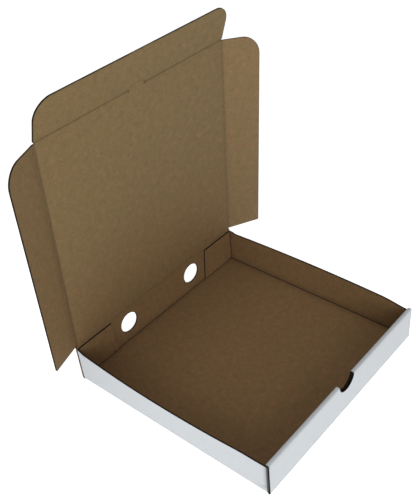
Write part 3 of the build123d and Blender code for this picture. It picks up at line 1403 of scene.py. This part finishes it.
@dataclass(frozen=True)
class EffectSizes:
    """Sizes and shares of the effects that the finishes have in common."""

    cloud: Grain = Grain(150.0, 3.0)
    fine: Grain = Grain(420.0, 3.0, across=2.6)
    fleck: Grain = Grain(900.0, 1.0, across=3.2)
    tint: Grain = Grain(130.0, 2.0, along=1.3, across=0.9)
    cloud_range: Range = (0.33, 0.67)
    tint_range: Range = (0.35, 0.65)
    fleck_range: Range = (0.66, 0.78)
    cloud_in_mottle: float = 0.35
    fine_in_mottle: float = 0.65
    fine_in_height: float = 0.6
    fleck_in_height: float = 0.4
    flute_drift: float = 0.0016
    flute_drift_scale: float = 18.0
    # Widths of the painted shade along fold lines and at cut edges, and how strongly open flutes darken a
    # cut edge
    line_width: float = 0.0012
    edge_width: float = 0.0010
    edge_fade: Range = (0.2, 1.0)
    opening_gain: float = 2.0


class Effects:
    """Node groups that several finishes share, each built once."""

    def __init__(self, sizes: EffectSizes) -> None:
        """Builds every group.

        Args:
            sizes: The sizes and shares of the effects.
        """
        self.sizes = sizes
        self.paper = self.paper_group()
        self.flutes = self.flute_group()
        self.fold = self.fold_group()

    @staticmethod
    def group(name: str, inputs: dict[str, object], outputs: Sequence[str]) -> Shader:
        """Starts a node group.

        Args:
            name: Its name.
            inputs: Its inputs with their first values, where a tuple makes a vector.
            outputs: Names of the values that it puts out.

        Returns:
            A writer for the empty group.
        """
        made = bpy.data.node_groups.new(name, "ShaderNodeTree")
        for key, value in inputs.items():
            kind = "NodeSocketVector" if isinstance(value, tuple) else "NodeSocketFloat"
            made.interface.new_socket(key, in_out="INPUT", socket_type=kind).default_value = value
        for key in outputs:
            made.interface.new_socket(key, in_out="OUTPUT", socket_type="NodeSocketFloat")
        return Shader(made)

    def paper_group(self) -> bpy.types.NodeTree:
        """Paper made of long fibres: soft clouds, a drifting tint, fine flecks and a fibrous surface.

        Returns:
            The group.
        """
        sizes = self.sizes
        outputs = ["Cloud", "Tint", "Fleck", "Height"]
        shader = self.group("paper_fibre", {"Place": (0.0, 0.0, 0.0)}, outputs)
        place = shader.node("NodeGroupInput").outputs["Place"]
        cloud, fine = shader.fibres(place, sizes.cloud), shader.fibres(place, sizes.fine)
        fleck, tint = shader.fibres(place, sizes.fleck), shader.fibres(place, sizes.tint)
        clouds = shader.math("MULTIPLY", cloud, sizes.cloud_in_mottle)
        mottle = shader.math("MULTIPLY_ADD", fine, sizes.fine_in_mottle, clouds)
        flecks = shader.math("MULTIPLY", fleck, sizes.fleck_in_height)
        height = shader.math("MULTIPLY_ADD", fine, sizes.fine_in_height, flecks)
        found = {
            "Cloud": shader.ramp(mottle, sizes.cloud_range),
            "Tint": shader.ramp(tint, sizes.tint_range),
            "Fleck": shader.ramp(fleck, sizes.fleck_range),
            "Height": height,
        }
        shader.node("NodeGroupOutput", found)
        return shader.tree

    def flute_group(self) -> bpy.types.NodeTree:
        """Faint lines where the flutes show through a liner.

        Returns:
            The group.
        """
        inputs = {"Place": (0.0, 0.0, 0.0), "Pitch": BOARD.flute_pitch}
        shader = self.group("flute_lines", inputs, ["Wave"])
        given = shader.node("NodeGroupInput")
        parts = shader.node("ShaderNodeSeparateXYZ", {0: given.outputs["Place"]})
        noise = shader.noise(given.outputs["Place"], self.sizes.flute_drift_scale)
        across = shader.math("MULTIPLY_ADD", noise, self.sizes.flute_drift, parts.outputs[1])
        phase = shader.math("DIVIDE", shader.math("MULTIPLY", across, tau), given.outputs["Pitch"])
        wave = shader.math("MULTIPLY_ADD", shader.math("SINE", phase), 0.5, 0.5)
        shader.node("NodeGroupOutput", {"Wave": wave})
        return shader.tree

    def fold_group(self) -> bpy.types.NodeTree:
        """How strongly the painted shade of a fold line and of an open cut edge darkens the paper beside
        them.

        Returns:
            The group.
        """
        sizes = self.sizes
        inputs = {"Line Width": sizes.line_width, "Edge Width": sizes.edge_width}
        shader = self.group("fold_painted_shade", inputs, ["Line", "Shade", "Edge"])
        given = shader.node("NodeGroupInput")
        fold = shader.attribute("fold_distance", "Fac")
        edge = shader.attribute("edge_distance", "Fac")
        opening = shader.attribute("flute_opening", "Fac")
        marks = shader.node("ShaderNodeSeparateXYZ", {0: shader.attribute("fold_painted_shade", "Vector")})
        line = shader.ramp(shader.math("DIVIDE", fold, given.outputs["Line Width"]), RISE, FALL)
        shade = shader.ramp(shader.math("DIVIDE", fold, marks.outputs[2]), RISE, FALL)
        width = shader.math("MULTIPLY", given.outputs["Edge Width"], opening)
        cut = shader.ramp(shader.math("DIVIDE", edge, width), sizes.edge_fade, FALL)
        strength = shader.math("MULTIPLY", opening, sizes.opening_gain, clamp=True)
        # Painted shade: a dark line along the fold, shade beside it, and shade at an open cut edge
        found = {
            "Line": shader.math("MULTIPLY", line, marks.outputs[0]),
            "Shade": shader.math("MULTIPLY", shade, marks.outputs[1]),
            "Edge": shader.math("MULTIPLY", cut, strength),
        }
        shader.node("NodeGroupOutput", found)
        return shader.tree


def new_material(name: str) -> tuple[bpy.types.Material, Shader]:
    """Starts a material.

    Args:
        name: Its name.

    Returns:
        The material, and a writer for its empty node tree.
    """
    made = bpy.data.materials.new(name)
    made.use_nodes = True
    return made, Shader(made.node_tree)


@dataclass(frozen=True)
class Liner:
    """Finish of one side of the board: the paper's own colour, with painted shade at folds, at open cut
    edges and, where set, inside the front roll.
    """

    name: str
    light: Colour
    dark: Colour
    tint: Colour
    fleck: Colour
    # Colour of the painted shade at folds, at open cut edges and inside the front roll
    crease: Colour
    mottle: float
    tint_share: float
    fleck_share: float
    # Shares of the painted shade: a dark line along folds, shade beside them, and shade at open cut edges
    fold_line_shade_share: float
    shade_share: float
    edge_shade_share: float
    roughness: float
    bump: float
    flute_share: float = 0.06
    # Share of the painted shade inside the front roll
    enclosed_shade_share: float = 0.0
    flute_relief: float = 0.25
    bump_distance: float = 0.0002
    roughness_spread: float = 0.05
    specular: float = 0.25

    def material(self, effects: Effects) -> bpy.types.Material:
        """Builds the material.

        Args:
            effects: The shared node groups.

        Returns:
            The material.
        """
        made, shader = new_material(self.name)
        place = shader.attribute("flat_place", "Vector")
        paper = shader.node("ShaderNodeGroup", {"Place": place}, node_tree=effects.paper)
        fluting = {"Place": place, "Pitch": BOARD.flute_pitch}
        flutes = shader.node("ShaderNodeGroup", fluting, node_tree=effects.flutes)
        fold = shader.node("ShaderNodeGroup", node_tree=effects.fold)
        # The clouds, tint, flute lines and flecks are the paper's own colour; the next four layers are
        # painted shade beside folds, along folds, at open cut edges and inside the front roll
        layers = (
            (paper.outputs["Cloud"], self.mottle, self.dark),
            (paper.outputs["Tint"], self.tint_share, self.tint),
            (flutes.outputs["Wave"], self.flute_share, self.dark),
            (paper.outputs["Fleck"], self.fleck_share, self.fleck),
            (fold.outputs["Shade"], self.shade_share, self.crease),
            (fold.outputs["Line"], self.fold_line_shade_share, self.crease),
            (fold.outputs["Edge"], self.edge_shade_share, self.crease),
            (shader.attribute("enclosed", "Fac"), self.enclosed_shade_share, self.crease),
        )
        colour = self.light
        for mask, share, over in layers:
            colour = shader.mix(shader.math("MULTIPLY", mask, share, clamp=True), colour, over)
        # Painted light and shade: each piece's factors lighten, darken and redden the colour
        colour = shader.product(colour, shader.attribute("painted_light_and_shade", "Vector"))
        waves, fibres = flutes.outputs["Wave"], paper.outputs["Height"]
        relief = shader.math("MULTIPLY_ADD", waves, self.flute_relief, fibres)
        bumps = {"Height": relief, "Strength": self.bump, "Distance": self.bump_distance}
        rough = (self.roughness - self.roughness_spread, self.roughness + self.roughness_spread)
        shader.surface(
            {
                "Base Color": colour,
                "Roughness": shader.ramp(paper.outputs["Cloud"], RISE, rough),
                "Normal": shader.node("ShaderNodeBump", bumps).outputs[0],
                "Specular IOR Level": self.specular,
            }
        )
        return made


@dataclass(frozen=True)
class Core:
    """Finish of the fluted core that shows at a cut edge, painted near black as shade inside open flutes.
    """

    name: str
    light: Colour
    crushed: Colour
    # dark: painted shade, near black, where the flutes are open
    dark: Colour
    roughness: float
    bump: float = 0.3
    bump_distance: float = 0.0002
    specular: float = 0.1

    def material(self, effects: Effects) -> bpy.types.Material:
        """Builds the material.

        Args:
            effects: The shared node groups.

        Returns:
            The material.
        """
        made, shader = new_material(self.name)
        place = shader.attribute("flat_place", "Vector")
        paper = shader.node("ShaderNodeGroup", {"Place": place}, node_tree=effects.paper)
        # Painted shade: the more open the flutes, the nearer the colour goes to near black, as the shadow
        # inside their channels
        opening = shader.attribute("flute_opening", "Fac")
        depth = shader.math("MULTIPLY", opening, effects.sizes.opening_gain, clamp=True)
        colour = shader.mix(paper.outputs["Cloud"], self.light, self.crushed)
        height = paper.outputs["Height"]
        bumps = {"Height": height, "Strength": self.bump, "Distance": self.bump_distance}
        shader.surface(
            {
                "Base Color": shader.mix(depth, colour, self.dark),
                "Roughness": shader.ramp(paper.outputs["Cloud"], RISE, (self.roughness, 1.0)),
                "Normal": shader.node("ShaderNodeBump", bumps).outputs[0],
                "Specular IOR Level": self.specular,
            }
        )
        return made


WHITE_LINER = Liner(
    name="white_liner",
    light=(0.53, 0.557, 0.578, 1.0),
    dark=(0.505, 0.531, 0.551, 1.0),
    tint=(0.52, 0.54, 0.57, 1.0),
    fleck=(0.50, 0.50, 0.49, 1.0),
    # Painted shade colour at folds and open cut edges
    crease=(0.045, 0.043, 0.042, 1.0),
    mottle=0.8,
    tint_share=0.3,
    fleck_share=0.15,
    flute_share=0.10,
    fold_line_shade_share=0.055,
    shade_share=0.08,
    edge_shade_share=0.55,
    roughness=0.55,
    bump=0.25,
)

# The lid's brown paper, painted darker and redder inside the tray as painted shade and the red of light
# bounced between the brown walls, with stronger painted shade at folds, open cut edges and inside the
# front roll
TRAY_SHADED_BROWN_LINER = Liner(
    name="tray_brown_liner_painted_shade",
    light=(0.228, 0.126, 0.058, 1.0),
    dark=(0.155, 0.086, 0.039, 1.0),
    tint=(0.166, 0.109, 0.041, 1.0),
    fleck=(0.08, 0.045, 0.022, 1.0),
    # Painted shade colour at folds, open cut edges and inside the front roll
    crease=(0.022, 0.012, 0.008, 1.0),
    mottle=1.0,
    tint_share=0.6,
    fleck_share=0.30,
    fold_line_shade_share=0.75,
    shade_share=0.22,
    edge_shade_share=0.90,
    enclosed_shade_share=0.92,
    roughness=0.80,
    bump=0.35,
)

LID_BROWN_LINER = Liner(
    name="lid_brown_liner",
    light=(0.227, 0.146, 0.067, 1.0),
    dark=(0.155, 0.100, 0.0457, 1.0),
    tint=(0.165, 0.127, 0.049, 1.0),
    fleck=(0.08, 0.050, 0.025, 1.0),
    # Painted shade colour at folds and open cut edges
    crease=(0.022, 0.013, 0.008, 1.0),
    mottle=1.0,
    tint_share=0.6,
    fleck_share=0.30,
    fold_line_shade_share=0.55,
    shade_share=0.12,
    edge_shade_share=0.75,
    roughness=0.80,
    bump=0.35,
)

FLUTED_CORE = Core(
    name="fluted_core",
    light=(0.34, 0.26, 0.20, 1.0),
    crushed=(0.24, 0.17, 0.12, 1.0),
    # Painted shade inside open flutes
    dark=(0.012, 0.009, 0.008, 1.0),
    roughness=0.9,
)


@dataclass(frozen=True)
class Lamp:
    """A square soft light, with its power in watts."""

    name: str
    place: Place
    power: float
    size: float = 1.2

    def hang(self, aim: Vector) -> None:
        """Hangs the light.

        Args:
            aim: The point that it faces.
        """
        data = bpy.data.lights.new(self.name, "AREA")
        data.size = self.size
        data.energy = self.power
        lamp = bpy.data.objects.new(self.name, data)
        lamp.location = self.place
        lamp.rotation_euler = (aim - Vector(self.place)).to_track_quat("-Z", "Y").to_euler()
        bpy.context.scene.collection.objects.link(lamp)


@dataclass
class Studio:
    """Plain pale floor, soft light and the camera."""

    floor_radius: float = 12.0
    floor_sides: int = 64
    floor_colour: Colour = (0.90, 0.90, 0.90, 1.0)
    floor_roughness: float = 0.9
    floor_specular: float = 0.1
    floor_glow: float = 0.64
    white: Colour = (1.0, 1.0, 1.0, 1.0)
    world_strength: float = 0.191
    lamps: tuple[Lamp, ...] = (
        Lamp("key_light", (-1.5, -1.5, 0.9), 23.1),
        Lamp("side_light", (-2.1, 0.0, 0.9), 6.6),
        Lamp("front_light", (0.0, -2.1, 0.9), 6.7),
        Lamp("top_light", (0.0, 0.0, 2.4), 13.9),
    )
    aim_height: float = 0.1
    focal_pixels: float = 783.26
    centre_x: float = 232.47
    centre_y: float = 279.71
    sensor: float = 36.0
    camera_place: Place = (-0.45966, -0.39944, 0.61347)
    camera_angles_deg: Place = (50.391, 3.647, -51.138)
    clip_start: float = 0.01

    def floor(self) -> None:
        """Lays a floor under the box."""
        turns = [tau * i / self.floor_sides for i in range(self.floor_sides)]
        ring = [(self.floor_radius * cos(turn), self.floor_radius * sin(turn), 0.0) for turn in turns]
        mesh = bpy.data.meshes.new("studio_floor")
        mesh.from_pydata(ring, [], [tuple(range(self.floor_sides))])
        floor = bpy.data.objects.new("studio_floor", mesh)
        bpy.context.scene.collection.objects.link(floor)
        made, shader = new_material("pale_floor")
        shader.surface(
            {
                "Base Color": self.floor_colour,
                "Roughness": self.floor_roughness,
                "Specular IOR Level": self.floor_specular,
                "Emission Color": self.white,
                "Emission Strength": self.floor_glow,
            }
        )
        mesh.materials.append(made)

    def world(self) -> None:
        """Surrounds the scene with even white light."""
        world = bpy.data.worlds.new("studio_world")
        world.use_nodes = True
        background = world.node_tree.nodes["Background"]
        background.inputs["Color"].default_value = self.white
        background.inputs["Strength"].default_value = self.world_strength
        bpy.context.scene.world = world

    def camera(self) -> None:
        """Sets the camera at the photograph's viewing angle."""
        data = bpy.data.cameras.new("camera")
        data.sensor_width = self.sensor
        data.lens = self.focal_pixels / PHOTO_HEIGHT * self.sensor
        data.shift_x = (PHOTO_WIDTH / 2 - self.centre_x) / PHOTO_HEIGHT
        data.shift_y = (self.centre_y - PHOTO_HEIGHT / 2) / PHOTO_HEIGHT
        data.clip_start = self.clip_start
        camera = bpy.data.objects.new("camera", data)
        camera.location = self.camera_place
        camera.rotation_euler = Euler([radians(a) for a in self.camera_angles_deg])
        bpy.context.scene.collection.objects.link(camera)
        bpy.context.scene.camera = camera

    def build(self) -> None:
        """Builds the studio."""
        self.floor()
        self.world()
        for lamp in self.lamps:
            lamp.hang(Vector((0, 0, self.aim_height)))
        self.camera()
        bpy.context.scene.view_settings.view_transform = "Standard"


def main() -> None:
    """Builds the box and its studio."""
    logging.basicConfig(level=logging.INFO, format="%(name)s: %(message)s")
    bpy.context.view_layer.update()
    effects = Effects(EffectSizes())
    shared = {Layer.OUTER_LINER: WHITE_LINER.material(effects), Layer.CORE: FLUTED_CORE.material(effects)}
    tray_finishes = shared | {Layer.INNER_LINER: TRAY_SHADED_BROWN_LINER.material(effects)}
    lid_finishes = shared | {Layer.INNER_LINER: LID_BROWN_LINER.material(effects)}
    for piece in (Tray().build(tray_finishes), *Lid().build(lid_finishes)):
        log.info("%s: %d faces", piece.name, len(piece.data.polygons))
    Studio().build()


if __name__ == "__main__":
    main()
